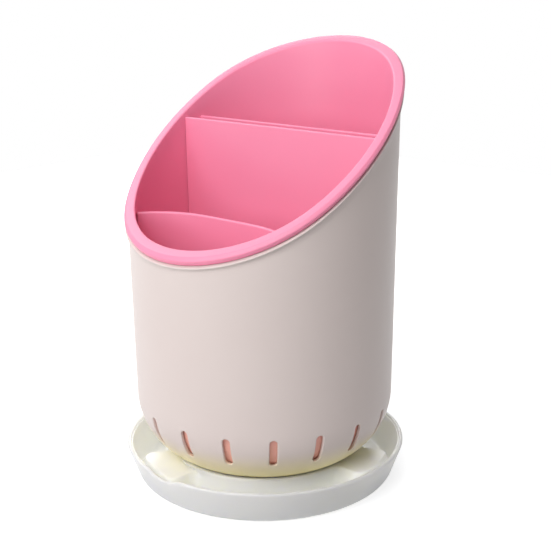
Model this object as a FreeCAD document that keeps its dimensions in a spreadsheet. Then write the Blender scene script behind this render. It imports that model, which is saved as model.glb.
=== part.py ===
import FreeCAD, Part
import math
import os
import Sketcher

# Draining cutlery holder, in millimetres. Z is up and the table is at zero.
# The low side of the slanted rim is the front, towards minus Y.

os.makedirs("parts", exist_ok=True)
doc = FreeCAD.newDocument("cutlery_holder")
sheet = doc.addObject("Spreadsheet::Sheet", "sizes")

# Driving dimensions, one cell each.
driving = {
    # drip tray
    "tray_rim_radius": 70.4,
    "tray_base_radius": 64.0,
    "tray_height": 18.3,
    "tray_wall": 2.5,
    "tray_floor": 2.4,
    "tray_base_round": 5.0,
    "tray_rim_round": 1.0,
    # raised ring and blocks that carry the pot, with a sunk seat for its floor
    "ring_inner_radius": 38.0,
    "ring_outer_radius": 48.5,
    "seat_height": 11.0,
    "seat_radius": 45.3,
    "seat_chamfer": 0.8,
    "block_count": 3,
    "block_angle": -18.0,
    "block_half_angle": 16.0,
    "block_inner_radius": 22.0,
    "block_top": 15.0,
    "block_side_slope": 12.0,
    "block_round": 2.0,
    # dip in the tray rim for pouring
    "lip_angle": -3.0,
    "lip_depth": 2.8,
    "lip_scoop_radius": 22.0,
    # non-slip pads under the tray
    "pad_count": 4,
    "pad_angle": 45.0,
    "pad_circle_radius": 47.0,
    "pad_radius": 7.0,
    "pad_stand": 0.5,
    "pad_recess": 1.2,
    "pad_gap": 0.1,
    "pad_chamfer": 0.4,
    # outer pot
    "pot_base_radius": 63.3,
    "pot_mouth_radius": 64.9,
    "pot_round": 34.0,
    "pot_wall": 1.8,
    "pot_edge_round": 0.6,
    "slot_count": 18,
    "slot_width": 3.6,
    "slot_start": 15.8,
    "slot_length": 14.6,
    "slot_turn": 5.3,
    "pot_drain_count": 6,
    "pot_drain_circle": 13.5,
    "pot_drain_radius": 3.0,
    "locator_height": 1.5,
    "locator_wall": 2.0,
    "locator_gap": 1.5,
    # slanted rim line, seen from the side
    "rim_mid_height": 168.8,
    "rim_straight_run": 50.0,
    "rim_straight_rise": 37.0,
    "rim_ease_radius": 290.0,
    "rim_depth": 4.2,
    "rim_overhang": 1.7,
    "rim_top_round": 1.0,
    "rim_under_round": 1.0,
    "rim_seat_gap": 0.35,
    # inner liner
    "liner_gap": 0.35,
    "liner_wall": 1.6,
    "liner_drain_radius": 2.25,
    "liner_drain_pitch": 12.0,
    "front_row_holes": 5,
    "middle_row_holes": 7,
    "slot_row_holes": 5,
    "rear_row_holes": 5,
    # dividers and the guides that hold their ends
    "panel": 2.0,
    "panel_gap": 0.3,
    "panel_below_rim": 3.2,
    "panel_edge_round": 0.7,
    "front_panel_y": 10.0,
    "rear_panel_y": 19.0,
    "curved_set_forward": 22.3,
    "curved_below_rim": 18.7,
    "guide_wall": 1.6,
    "guide_depth": 2.6,
    "guide_drop": 2.5,
    "curved_guide_drop": 16.0,
}
for row, (alias, number) in enumerate(driving.items(), start=1):
    cell = "B%d" % row
    sheet.set("A%d" % row, alias)
    sheet.set(cell, str(number))
    sheet.setAlias(cell, alias)
doc.recompute()


class Size:
    # A number together with the sheet expression that gives it.

    def __init__(self, text, number):
        self.text = text
        self.number = number

    def __add__(self, other):
        other = as_size(other)
        return Size("(%s + %s)" % (self.text, other.text), self.number + other.number)

    def __sub__(self, other):
        other = as_size(other)
        return Size("(%s - %s)" % (self.text, other.text), self.number - other.number)

    def __mul__(self, other):
        other = as_size(other)
        return Size("(%s * %s)" % (self.text, other.text), self.number * other.number)

    def __truediv__(self, other):
        other = as_size(other)
        return Size("(%s / %s)" % (self.text, other.text), self.number / other.number)

    def __neg__(self):
        return Size("(0 - %s)" % self.text, -self.number)


def as_size(value):
    if isinstance(value, Size):
        return value
    return Size(repr(value), value)


def size(alias):
    return Size("sizes.%s" % alias, float(sheet.get(alias)))


def larger(one, other):
    return Size("max(%s; %s)" % (one.text, other.text), max(one.number, other.number))


def smaller(one, other):
    return Size("min(%s; %s)" % (one.text, other.text), min(one.number, other.number))


def square_root(value):
    return Size("sqrt(%s)" % value.text, math.sqrt(value.number))


def tangent(angle):
    # Of an angle in degrees.
    return Size("tan(%s)" % angle.text, math.tan(math.radians(angle.number)))


zero = as_size(0.0)

# Heights and radii that follow from the driving dimensions.
tray_bottom = size("pad_stand")
pot_bottom = size("seat_height")
pot_inside_inset = size("pot_wall")
liner_inset = pot_inside_inset + size("liner_gap")
liner_inside_inset = liner_inset + size("liner_wall")
divider_inset = liner_inside_inset + size("panel_gap")
guide_inset = liner_inside_inset + size("guide_depth")
half_panel = size("panel") / 2
half_groove = half_panel + size("panel_gap")
half_guide = half_groove + size("guide_wall")
rim_slope = size("rim_straight_rise") / size("rim_straight_run")
panel_top = size("rim_mid_height") + size("front_panel_y") * rim_slope - size("panel_below_rim")
curved_top = size("rim_mid_height") - size("curved_set_forward") * rim_slope - size("curved_below_rim")
# Blanks are cut out of solids that stand higher and reach further than the finished rim.
blank_top = size("rim_mid_height") + size("pot_mouth_radius") + size("rim_overhang") * 2
full_turn = 360.0
# The most of a wall's thickness that the rounding of one edge may take up.
rim_round_share = 0.45
# How much of the pot's bottom rounding is still flat enough for drain holes.
drain_share = 0.7
# How near an edge has to lie to the line it is looked for on, and the points tried along it.
edge_match = 0.02
edge_samples = 5


def wall_radius(height, inset):
    # Radius of the tapered pot wall at a height, moved inwards by an inset.
    taper = (size("pot_mouth_radius") - size("pot_base_radius")) / (size("rim_mid_height") - pot_bottom)
    return size("pot_base_radius") + taper * (height - pot_bottom) - inset


widest_wall = larger(size("pot_base_radius"), wall_radius(blank_top, zero))
cover_radius = widest_wall + size("rim_overhang") * 2


def bind(thing, prop, value):
    thing.setExpression(prop, as_size(value).text)


def new_body(name):
    return doc.addObject("PartDesign::Body", name)


def origin_of(body, role):
    for feature in body.Origin.OriginFeatures:
        if feature.Role == role:
            return feature


def new_sketch(body, name, role):
    sketch = body.newObject("Sketcher::SketchObject", name)
    sketch.AttachmentSupport = [(origin_of(body, role), "")]
    sketch.MapMode = "FlatFace"
    return sketch


def pin_point(sketch, line, end, across, up):
    # Fixes one end of a line at two sheet-bound distances from the origin.
    for kind, value in (("DistanceX", across), ("DistanceY", up)):
        index = sketch.addConstraint(Sketcher.Constraint(kind, line, end, value.number))
        bind(sketch, "Constraints[%d]" % index, value)


def vector(across, up):
    return FreeCAD.Vector(across.number, up.number, 0)


def draw_polygon(sketch, corners):
    count = len(corners)
    for k in range(count):
        here = corners[k]
        there = corners[(k + 1) % count]
        sketch.addGeometry(Part.LineSegment(vector(*here), vector(*there)), False)
    for k in range(count):
        sketch.addConstraint(Sketcher.Constraint("Coincident", k, 2, (k + 1) % count, 1))
    for k, corner in enumerate(corners):
        pin_point(sketch, k, 1, *corner)


def draw_circle(sketch, across, up, radius):
    circle = Part.Circle(vector(across, up), FreeCAD.Vector(0, 0, 1), radius.number)
    index = sketch.addGeometry(circle, False)
    pin_point(sketch, index, 3, across, up)
    rule = sketch.addConstraint(Sketcher.Constraint("Radius", index, radius.number))
    bind(sketch, "Constraints[%d]" % rule, radius)


def revolve(body, name, corners):
    sketch = new_sketch(body, name + "_sketch", "XZ_Plane")
    draw_polygon(sketch, corners)
    doc.recompute()
    feature = body.newObject("PartDesign::Revolution", name)
    feature.Profile = (sketch, [""])
    feature.ReferenceAxis = (sketch, ["V_Axis"])
    feature.Angle = full_turn
    doc.recompute()
    return feature


def circle_edges(shape, radius, height):
    # Names of the round edges of a given radius at a given height.
    names = []
    for index, edge in enumerate(shape.Edges, start=1):
        curve = edge.Curve
        if not isinstance(curve, Part.Circle):
            continue
        if abs(curve.Radius - radius) < edge_match and abs(curve.Center.z - height) < edge_match:
            names.append("Edge%d" % index)
    return names


def round_edges(body, name, base, names, radius):
    feature = body.newObject("PartDesign::Fillet", name)
    feature.Base = (base, names)
    bind(feature, "Radius", radius)
    doc.recompute()
    return feature


def pocket(body, name, sketch, length, symmetric=False, flipped=False):
    feature = body.newObject("PartDesign::Pocket", name)
    feature.Profile = (sketch, [""])
    feature.Type = "Length"
    if symmetric:
        feature.SideType = "Symmetric"
    feature.Reversed = flipped
    bind(feature, "Length", length)
    before = feature.BaseFeature.Shape.Volume
    doc.recompute()
    if feature.Shape.Volume >= before:
        raise RuntimeError("%s removed nothing" % name)
    return feature


def polar_copies(body, name, feature, count):
    pattern = body.newObject("PartDesign::PolarPattern", name)
    pattern.Originals = [feature]
    pattern.Axis = (origin_of(body, "Z_Axis"), [""])
    pattern.Angle = full_turn
    bind(pattern, "Occurrences", count)
    body.Tip = pattern
    doc.recompute()
    return pattern


def boolean(kind, name, base, tool):
    result = doc.addObject("Part::" + kind, name)
    result.Base = base
    result.Tool = tool
    doc.recompute()
    return result


def union(name, shapes):
    result = doc.addObject("Part::MultiFuse", name)
    result.Shapes = shapes
    doc.recompute()
    return result


def box(name, corner, lengths):
    result = doc.addObject("Part::Box", name)
    for prop, value in zip(("Length", "Width", "Height"), lengths):
        bind(result, prop, value)
    for axis, value in zip("xyz", corner):
        bind(result, "Placement.Base." + axis, value)
    return result


def upright_ring(name, centre_y, middle_radius, half_thickness, height):
    # A round wall of even thickness that stands on the table, about a point of the Y axis.
    sides = []
    for word, radius in (("out", middle_radius + half_thickness), ("in", middle_radius - half_thickness)):
        side = doc.addObject("Part::Cylinder", "%s_%s" % (name, word))
        bind(side, "Radius", radius)
        bind(side, "Height", height)
        bind(side, "Placement.Base.y", centre_y)
        sides.append(side)
    return boolean("Cut", name, *sides)


def cup(name, inset, floor, rounding):
    # The tapered pot form, filled, moved inwards by an inset and rounded at the bottom edge.
    body = new_body(name)
    corners = [
        (zero, floor),
        (wall_radius(floor, inset), floor),
        (wall_radius(blank_top, inset), blank_top),
        (zero, blank_top),
    ]
    filled = revolve(body, name + "_turn", corners)
    rim = circle_edges(filled.Shape, wall_radius(floor, inset).number, floor.number)
    round_edges(body, name + "_round", filled, rim, rounding)
    return body


def adopt(name, blank):
    # A body that goes on from a finished boolean.
    body = new_body(name)
    body.BaseFeature = blank
    doc.recompute()
    return body


# The rim line in the YZ plane: a straight slope that eases off along an arc at both ends.
def rim_line(sketch, drop, far):
    run = size("rim_straight_run")
    rise = size("rim_straight_rise")
    radius = size("rim_ease_radius")
    middle = size("rim_mid_height") - drop
    reach = cover_radius
    low = (-(run / 2), middle - rise / 2)
    high = (run / 2, middle + rise / 2)
    slope = math.atan2(rise.number, run.number)
    normal = FreeCAD.Vector(-math.sin(slope), math.cos(slope), 0)
    above = vector(*low) + normal * radius.number
    below = vector(*high) - normal * radius.number
    up = FreeCAD.Vector(0, 0, 1)
    front_angle = -math.acos((-reach.number - above.x) / radius.number)
    back_angle = math.acos((reach.number - below.x) / radius.number)
    front = Part.ArcOfCircle(Part.Circle(above, up, radius.number), front_angle, slope - math.pi / 2)
    back = Part.ArcOfCircle(Part.Circle(below, up, radius.number), back_angle, slope + math.pi / 2)
    front_end = front.StartPoint
    back_end = back.StartPoint
    front_far = vector(-reach, far)
    back_far = vector(reach, far)
    sketch.addGeometry(Part.LineSegment(vector(*low), vector(*high)), False)
    sketch.addGeometry(front, False)
    sketch.addGeometry(back, False)
    sketch.addGeometry(Part.LineSegment(front_end, front_far), False)
    sketch.addGeometry(Part.LineSegment(front_far, back_far), False)
    sketch.addGeometry(Part.LineSegment(back_far, back_end), False)
    pin_point(sketch, 0, 1, *low)
    pin_point(sketch, 0, 2, *high)
    sketch.addConstraint(Sketcher.Constraint("Tangent", 1, 2, 0, 1))
    sketch.addConstraint(Sketcher.Constraint("Tangent", 2, 2, 0, 2))
    for arc in (1, 2):
        index = sketch.addConstraint(Sketcher.Constraint("Radius", arc, radius.number))
        bind(sketch, "Constraints[%d]" % index, radius)
    sketch.addConstraint(Sketcher.Constraint("Coincident", 3, 1, 1, 1))
    sketch.addConstraint(Sketcher.Constraint("Coincident", 3, 2, 4, 1))
    sketch.addConstraint(Sketcher.Constraint("Coincident", 4, 2, 5, 1))
    sketch.addConstraint(Sketcher.Constraint("Coincident", 5, 2, 2, 1))
    sketch.addConstraint(Sketcher.Constraint("Vertical", 3))
    sketch.addConstraint(Sketcher.Constraint("Vertical", 5))
    pin_point(sketch, 4, 1, -reach, far)
    pin_point(sketch, 4, 2, reach, far)


def rim_cut(body, name, drop, far):
    # Cuts a body along the rim line, on the side where the far level lies.
    sketch = new_sketch(body, name + "_sketch", "YZ_Plane")
    rim_line(sketch, drop, far)
    doc.recompute()
    return pocket(body, name, sketch, cover_radius * 2, symmetric=True)


def rim_height(y):
    # Height of the rim line at a place along Y.
    run = size("rim_straight_run").number
    rise = size("rim_straight_rise").number
    radius = size("rim_ease_radius").number
    middle = size("rim_mid_height").number
    if abs(y) <= run / 2:
        return middle + y * rise / run
    slope = math.atan2(rise, run)
    past = abs(y) - run / 2
    easing = math.sqrt(radius ** 2 - (radius * math.sin(slope) - past) ** 2) - radius * math.cos(slope)
    return middle + math.copysign(rise / 2 + easing, y)


def rim_edges(shape, drop, inset):
    # Names of the edges that lie on the rim line, lowered by a drop, outside the wall at an inset.
    # Straight ones only cross the wall where the slope starts to ease off, so they are left out.
    names = []
    for index, edge in enumerate(shape.Edges, start=1):
        if isinstance(edge.Curve, Part.Line):
            continue
        points = edge.discretize(edge_samples)
        on_line = all(abs(p.z - rim_height(p.y) + drop.number) < edge_match for p in points)
        outside = all(math.hypot(p.x, p.y) > wall_radius(as_size(p.z), inset).number for p in points)
        if on_line and outside:
            names.append("Edge%d" % index)
    return names


# Drip tray: a dish with a raised ring, blocks from the ring to the wall, and a pouring lip.
def tray_blank(name, inset, floor, rounding):
    # The dish form, filled, moved inwards by an inset and rounded at the bottom edge.
    body = new_body(name)
    base = size("tray_base_radius") - inset
    rim = size("tray_rim_radius") - inset
    top = size("tray_height")
    filled = revolve(body, name + "_turn", [(zero, floor), (base, floor), (rim, top), (zero, top)])
    foot = circle_edges(filled.Shape, base.number, floor.number)
    round_edges(body, name + "_round", filled, foot, rounding)
    return body


def turn_body(body, angle):
    # Turns a body about the upright axis, away from the front.
    body.Placement = FreeCAD.Placement(FreeCAD.Vector(), FreeCAD.Rotation(FreeCAD.Vector(0, 0, 1), 1))
    bind(body, "Placement.Rotation.Angle", angle)
    doc.recompute()


def support_block(index):
    name = "support_block_%d" % (index + 1)
    body = new_body(name)
    sketch = new_sketch(body, name + "_sketch", "XY_Plane")
    near = -size("block_inner_radius")
    far = -size("tray_rim_radius")
    half_near = -(near * tangent(size("block_half_angle")))
    half_far = -(far * tangent(size("block_half_angle")))
    draw_polygon(sketch, [(-half_far, far), (half_far, far), (half_near, near), (-half_near, near)])
    doc.recompute()
    pad = body.newObject("PartDesign::Pad", name + "_pad")
    pad.Profile = (sketch, [""])
    bind(pad, "Length", size("block_top"))
    bind(pad, "TaperAngle", -size("block_side_slope"))
    doc.recompute()
    top = [
        "Edge%d" % k
        for k, edge in enumerate(pad.Shape.Edges, start=1)
        if edge.BoundBox.ZMin > size("block_top").number - edge_match
    ]
    round_edges(body, name + "_round", pad, top, size("block_round"))
    turn_body(body, size("block_angle") + as_size(full_turn * index) / size("block_count"))
    return body


def support_ring():
    name = "support_ring"
    body = new_body(name)
    inner = size("ring_inner_radius")
    outer = size("ring_outer_radius")
    top = size("block_top")
    lean = top * tangent(size("block_side_slope"))
    corners = [(inner - lean, zero), (outer + lean, zero), (outer, top), (inner, top)]
    turned = revolve(body, name + "_turn", corners)
    inner_edge = circle_edges(turned.Shape, inner.number, top.number)
    outer_edge = circle_edges(turned.Shape, outer.number, top.number)
    round_edges(body, name + "_round", turned, inner_edge + outer_edge, size("block_round"))
    return body


def pot_seat():
    # What is cut from the ring and the blocks to let the pot's round bottom down between them.
    body = new_body("pot_seat")
    floor = size("seat_height")
    radius = size("seat_radius")
    bevel = size("seat_chamfer")
    top = size("block_top")
    corners = [(zero, floor), (radius, floor), (radius, top - bevel), (radius + bevel, top), (zero, top)]
    revolve(body, "pot_seat_turn", corners)
    return body


def pouring_scoop():
    # A round bar, lying from the middle of the tray out over its rim, that cuts the lip.
    name = "pouring_scoop"
    body = new_body(name)
    sketch = new_sketch(body, name + "_sketch", "XZ_Plane")
    radius = size("lip_scoop_radius")
    draw_circle(sketch, zero, size("tray_height") - size("lip_depth") + radius, radius)
    doc.recompute()
    bar = body.newObject("PartDesign::Pad", name + "_bar")
    bar.Profile = (sketch, [""])
    bind(bar, "Length", size("tray_rim_radius") * 2)
    doc.recompute()
    turn_body(body, size("lip_angle"))
    return body


def around(radius, angle):
    # The two distances of a point on a circle, by its angle in degrees.
    turn = math.radians(angle.number)
    across = Size("(%s * cos(%s))" % (radius.text, angle.text), radius.number * math.cos(turn))
    up = Size("(%s * sin(%s))" % (radius.text, angle.text), radius.number * math.sin(turn))
    return across, up


def polar_spots(radius, count, first):
    # Places evenly spaced on a circle.
    steps = range(int(count.number))
    return [around(radius, first + as_size(full_turn * k) / count) for k in steps]


def build_tray():
    wall = size("tray_wall")
    rounding = size("tray_base_round")
    envelope = tray_blank("tray_outside", zero, tray_bottom, rounding)
    cavity = tray_blank("tray_inside", wall, tray_bottom + size("tray_floor"), rounding - wall)
    blocks = [support_block(k) for k in range(int(size("block_count").number))]
    supports = union("supports", [support_ring()] + blocks)
    seated = boolean("Cut", "seated_supports", supports, pot_seat())
    basin = boolean("Cut", "tray_basin", cavity, seated)
    dish = adopt("tray_dish", boolean("Cut", "tray_hollow", envelope, basin))
    rim = size("tray_rim_radius")
    # A wall that leans out leaves less room for the rounding of its two rim edges.
    lean = rim - size("tray_base_radius")
    rise = size("tray_height") - tray_bottom
    upright_share = rise / square_root(lean * lean + rise * rise)
    most_round = wall * upright_share * rim_round_share
    top = size("tray_height").number
    outer = circle_edges(dish.Shape, rim.number, top)
    inner = circle_edges(dish.Shape, rim.number - wall.number, top)
    round_edges(dish, "tray_rim", dish.Tip, outer + inner, smaller(size("tray_rim_round"), most_round))
    tray = adopt("drip_tray", boolean("Cut", "tray_poured", dish, pouring_scoop()))
    recesses = new_sketch(tray, "pad_recesses_sketch", "XY_Plane")
    for spot in polar_spots(size("pad_circle_radius"), size("pad_count"), size("pad_angle")):
        draw_circle(recesses, *spot, size("pad_radius") + size("pad_gap"))
    doc.recompute()
    pocket(tray, "pad_recesses", recesses, tray_bottom + size("pad_recess"), flipped=True)
    return tray


def build_pad(name, spot):
    body = new_body(name)
    sketch = new_sketch(body, name + "_sketch", "XY_Plane")
    draw_circle(sketch, zero, zero, size("pad_radius"))
    doc.recompute()
    disc = body.newObject("PartDesign::Pad", name + "_disc")
    disc.Profile = (sketch, [""])
    bind(disc, "Length", size("pad_stand") + size("pad_recess"))
    doc.recompute()
    bevel = body.newObject("PartDesign::Chamfer", name + "_bevel")
    bevel.Base = (disc, circle_edges(disc.Shape, size("pad_radius").number, zero.number))
    bind(bevel, "Size", size("pad_chamfer"))
    for axis, value in zip("xy", spot):
        bind(body, "Placement.Base." + axis, value)
    doc.recompute()
    return body


# Outer pot: tapered cup, open along the rim line, with slots over the bottom rounding.
def draw_slot(sketch):
    half = size("slot_width") / 2
    low = pot_bottom + size("slot_start") + half
    high = low + size("slot_length") - size("slot_width")
    up = FreeCAD.Vector(0, 0, 1)
    sketch.addGeometry(Part.LineSegment(vector(half, low), vector(half, high)), False)
    sketch.addGeometry(Part.LineSegment(vector(-half, high), vector(-half, low)), False)
    top = Part.ArcOfCircle(Part.Circle(vector(zero, high), up, half.number), 0, math.pi)
    foot = Part.ArcOfCircle(Part.Circle(vector(zero, low), up, half.number), math.pi, 2 * math.pi)
    sketch.addGeometry(top, False)
    sketch.addGeometry(foot, False)
    pin_point(sketch, 0, 1, half, low)
    pin_point(sketch, 0, 2, half, high)
    pin_point(sketch, 1, 1, -half, high)
    pin_point(sketch, 1, 2, -half, low)
    sketch.addConstraint(Sketcher.Constraint("Coincident", 2, 1, 0, 2))
    sketch.addConstraint(Sketcher.Constraint("Coincident", 2, 2, 1, 1))
    sketch.addConstraint(Sketcher.Constraint("Coincident", 3, 1, 1, 2))
    sketch.addConstraint(Sketcher.Constraint("Coincident", 3, 2, 0, 1))
    for arc, level in ((2, high), (3, low)):
        index = sketch.addConstraint(Sketcher.Constraint("DistanceY", arc, 3, level.number))
        bind(sketch, "Constraints[%d]" % index, level)


def build_pot():
    wall = size("pot_wall")
    outside = cup("pot_outside", zero, pot_bottom, size("pot_round"))
    inside = cup("pot_inside", wall, pot_bottom + wall, size("pot_round") - wall)
    shell = boolean("Cut", "pot_shell", outside, inside)
    pot = adopt("outer_pot", shell)
    outer = size("block_inner_radius") - size("locator_gap")
    inner = outer - size("locator_wall")
    foot = pot_bottom - size("locator_height")
    buried = pot_bottom + wall / 2
    revolve(pot, "locating_ring", [(inner, foot), (outer, foot), (outer, buried), (inner, buried)])
    drop = size("rim_depth") + size("rim_seat_gap")
    trimmed = rim_cut(pot, "pot_mouth", drop, blank_top)
    edges = rim_edges(trimmed.Shape, drop, liner_inset)
    round_edges(pot, "pot_edge", trimmed, edges, size("pot_edge_round"))
    drains = new_sketch(pot, "pot_drains_sketch", "XY_Plane")
    draw_circle(drains, zero, zero, size("pot_drain_radius"))
    for spot in polar_spots(size("pot_drain_circle"), size("pot_drain_count"), zero):
        draw_circle(drains, *spot, size("pot_drain_radius"))
    doc.recompute()
    pocket(pot, "pot_drains", drains, pot_bottom + size("pot_round"), flipped=True)
    slot = new_sketch(pot, "slot_sketch", "XZ_Plane")
    draw_slot(slot)
    slot.AttachmentOffset = FreeCAD.Placement(FreeCAD.Vector(), FreeCAD.Rotation(FreeCAD.Vector(0, 1, 0), 1))
    bind(slot, "AttachmentOffset.Rotation.Angle", size("slot_turn"))
    doc.recompute()
    first = pocket(pot, "slot", slot, cover_radius)
    polar_copies(pot, "slot_ring", first, size("slot_count"))
    return pot


# Inner liner: a cup inside the pot with a rim over the pot's edge and guides for the dividers.
def curved_radius():
    # The curved divider meets the liner's wall square on.
    wall = wall_radius(curved_top, liner_inside_inset)
    forward = size("curved_set_forward")
    return (wall * wall - forward * forward) / (forward * 2)


def curved_centre():
    return -(curved_radius() + size("curved_set_forward"))


def flat_slab(name, middle_y, half_thickness, height):
    corner = (-cover_radius, middle_y - half_thickness, zero)
    return box(name, corner, (cover_radius * 2, half_thickness * 2, height))


def build_guides():
    front = size("front_panel_y")
    rear = size("rear_panel_y")
    middle = (front + rear) / 2
    spread = (rear - front) / 2 + half_guide
    curved_rail_top = curved_top - size("curved_guide_drop")
    rails = union("guide_rails", [
        flat_slab("flat_rail", middle, spread, panel_top - size("guide_drop")),
        upright_ring("curved_rail", curved_centre(), curved_radius(), half_guide, curved_rail_top),
    ])
    grooves = union("guide_grooves", [
        flat_slab("front_groove", front, half_groove, blank_top),
        flat_slab("rear_groove", rear, half_groove, blank_top),
        upright_ring("curved_groove", curved_centre(), curved_radius(), half_groove, blank_top),
        cup("guide_core", guide_inset, pot_bottom, size("pot_round") - guide_inset),
    ])
    return boolean("Cut", "divider_guides", rails, grooves)


def liner_drain_rows():
    # One row of holes on the middle line of each compartment.
    floor_edge = wall_radius(pot_bottom, size("pot_round") * drain_share)
    front = size("front_panel_y")
    rear = size("rear_panel_y")
    curved = -size("curved_set_forward")
    return [
        ((curved - floor_edge) / 2, size("front_row_holes")),
        ((curved + front) / 2, size("middle_row_holes")),
        ((front + rear) / 2, size("slot_row_holes")),
        ((rear + floor_edge) / 2, size("rear_row_holes")),
    ]


def build_liner():
    bottom = pot_bottom + liner_inset
    floor = pot_bottom + liner_inside_inset
    envelope = cup("liner_outside", liner_inset, bottom, size("pot_round") - liner_inset)
    brim = new_body("liner_brim")
    overhang = -size("rim_overhang")
    corners = [
        (zero, bottom),
        (wall_radius(bottom, overhang), bottom),
        (wall_radius(blank_top, overhang), blank_top),
        (zero, blank_top),
    ]
    revolve(brim, "brim_turn", corners)
    rim_cut(brim, "brim_underside", size("rim_depth"), zero)
    solid = boolean("Fuse", "liner_solid", envelope, brim)
    cavity = cup("liner_inside", liner_inside_inset, floor, size("pot_round") - liner_inside_inset)
    basin = boolean("Cut", "liner_basin", cavity, build_guides())
    shell = boolean("Cut", "liner_shell", solid, basin)
    liner = adopt("inner_liner", shell)
    rim_cut(liner, "liner_mouth", zero, blank_top)
    drains = new_sketch(liner, "liner_drains_sketch", "XY_Plane")
    pitch = size("liner_drain_pitch")
    for row_y, count in liner_drain_rows():
        for k in range(int(count.number)):
            draw_circle(drains, pitch * (as_size(k) - (count - 1) / 2), row_y, size("liner_drain_radius"))
    doc.recompute()
    drilled = pocket(liner, "liner_drains", drains, pot_bottom + size("pot_round"), flipped=True)
    top = rim_edges(drilled.Shape, zero, divider_inset)
    crowned = round_edges(liner, "rim_crown", drilled, top, size("rim_top_round"))
    under = rim_edges(crowned.Shape, size("rim_depth"), zero)
    round_edges(liner, "rim_underside", crowned, under, size("rim_under_round"))
    return liner


# Dividers: plates that stand in the liner's guides and lift out.
def build_divider(name, slab, room, top):
    # Only the long top edges are rounded: the short ones at the ends stand in the guides.
    plate = boolean("Common", name + "_plate", slab, room)
    end_edge = size("panel").number * 2
    long_edges = [
        k
        for k, edge in enumerate(plate.Shape.Edges, start=1)
        if edge.BoundBox.ZMin > top.number - edge_match and edge.Length > end_edge
    ]
    result = doc.addObject("Part::Fillet", name)
    result.Base = plate
    radius = size("panel_edge_round").number
    result.Edges = [(k, radius, radius) for k in long_edges]
    doc.recompute()
    return result


def build_dividers():
    room = cup(
        "divider_room", divider_inset, pot_bottom + divider_inset, size("pot_round") - divider_inset
    )
    front = flat_slab("front_slab", size("front_panel_y"), half_panel, panel_top)
    rear = flat_slab("rear_slab", size("rear_panel_y"), half_panel, panel_top)
    curved = upright_ring("curved_slab", curved_centre(), curved_radius(), half_panel, curved_top)
    doc.recompute()
    return [
        build_divider("slot_front_panel", front, room, panel_top),
        build_divider("slot_rear_panel", rear, room, panel_top),
        build_divider("curved_divider", curved, room, curved_top),
    ]


pieces = [build_tray()]
spots = polar_spots(size("pad_circle_radius"), size("pad_count"), size("pad_angle"))
for number, spot in enumerate(spots, start=1):
    pieces.append(build_pad("non_slip_pad_%d" % number, spot))
pieces.append(build_pot())
pieces.append(build_liner())
pieces.extend(build_dividers())
doc.recompute()

for thing in doc.Objects:
    if "Invalid" in thing.State or "Error" in thing.State:
        raise RuntimeError("%s failed: %s" % (thing.Label, thing.State))
for piece in pieces:
    if piece.Shape.isNull() or not piece.Shape.isValid() or len(piece.Shape.Solids) != 1:
        raise RuntimeError("%s has no sound solid" % piece.Label)
for piece in pieces:
    piece.Shape.exportStep(os.path.join("parts", piece.Label + ".step"))
    span = piece.Shape.BoundBox
    print("%-18s %8.1f mm3  z %.2f to %.2f" % (piece.Label, piece.Shape.Volume, span.ZMin, span.ZMax))
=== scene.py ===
import math

import bmesh
import bpy
from mathutils import Matrix, Vector


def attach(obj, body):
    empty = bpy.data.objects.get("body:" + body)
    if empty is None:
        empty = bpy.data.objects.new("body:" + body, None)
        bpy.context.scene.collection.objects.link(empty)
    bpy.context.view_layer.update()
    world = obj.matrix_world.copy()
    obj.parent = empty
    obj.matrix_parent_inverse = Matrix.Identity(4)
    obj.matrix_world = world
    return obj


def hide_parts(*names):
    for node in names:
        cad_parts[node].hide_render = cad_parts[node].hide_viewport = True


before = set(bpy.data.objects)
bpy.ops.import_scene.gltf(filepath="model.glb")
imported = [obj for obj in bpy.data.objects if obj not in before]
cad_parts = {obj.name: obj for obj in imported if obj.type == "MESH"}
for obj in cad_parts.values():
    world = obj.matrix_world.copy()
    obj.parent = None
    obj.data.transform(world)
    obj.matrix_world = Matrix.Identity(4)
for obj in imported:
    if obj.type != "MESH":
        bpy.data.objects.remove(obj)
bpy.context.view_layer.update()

mm = 0.001
print("frame loaded:", len(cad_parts), "nodes")


def linearColour(hexText):
    # sRGB hex to the linear values that shader sockets take
    channels = [int(hexText[k:k + 2], 16) / 255 for k in (1, 3, 5)]
    return [c / 12.92 if c <= 0.04045 else ((c + 0.055) / 1.055) ** 2.4 for c in channels] + [1.0]


def addNode(tree, kind, links=None, inputs=None, **settings):
    # one node with its settings, its fixed inputs and the sockets that feed it
    node = tree.nodes.new(kind)
    for name, value in settings.items():
        setattr(node, name, value)
    for name, value in (inputs or {}).items():
        node.inputs[name].default_value = value
    for name, socket in (links or {}).items():
        tree.links.new(socket, node.inputs[name])
    return node


def mathNode(tree, operation, *terms):
    # one sum on up to three terms, each of them a socket or a number
    links = {k: term for k, term in enumerate(terms) if isinstance(term, bpy.types.NodeSocket)}
    numbers = {k: term for k, term in enumerate(terms) if k not in links}
    return addNode(tree, "ShaderNodeMath", links, numbers, operation=operation).outputs[0]


def rangeNode(tree, value, source, target=(0.0, 1.0), ease="LINEAR"):
    # carries a value over from one range to another
    ends = {"From Min": source[0], "From Max": source[1], "To Min": target[0], "To Max": target[1]}
    node = addNode(tree, "ShaderNodeMapRange", {"Value": value}, ends, interpolation_type=ease)
    return node.outputs["Result"]


def noiseNode(tree, place, size, detail, blend):
    # soft noise whose patches have a size in millimetres
    node = addNode(tree, "ShaderNodeTexNoise", {"Vector": place},
                   {"Scale": 1 / (size * mm), "Detail": detail, "Roughness": blend})
    return node.outputs["Fac"]


# Moulded plastic and rubber: an even colour with a faint cloudiness from the melt's flow, a skin that is
# smooth to the touch, and the slightest orange peel, which is drawn coarser than real so that it shows.
skinForm = {"cloudDetail": 3.0, "cloudBlend": 0.5, "grainDetail": 2.0, "grainBlend": 0.6,
            "roughSpread": 0.05, "peelHeight": 0.05}


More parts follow.
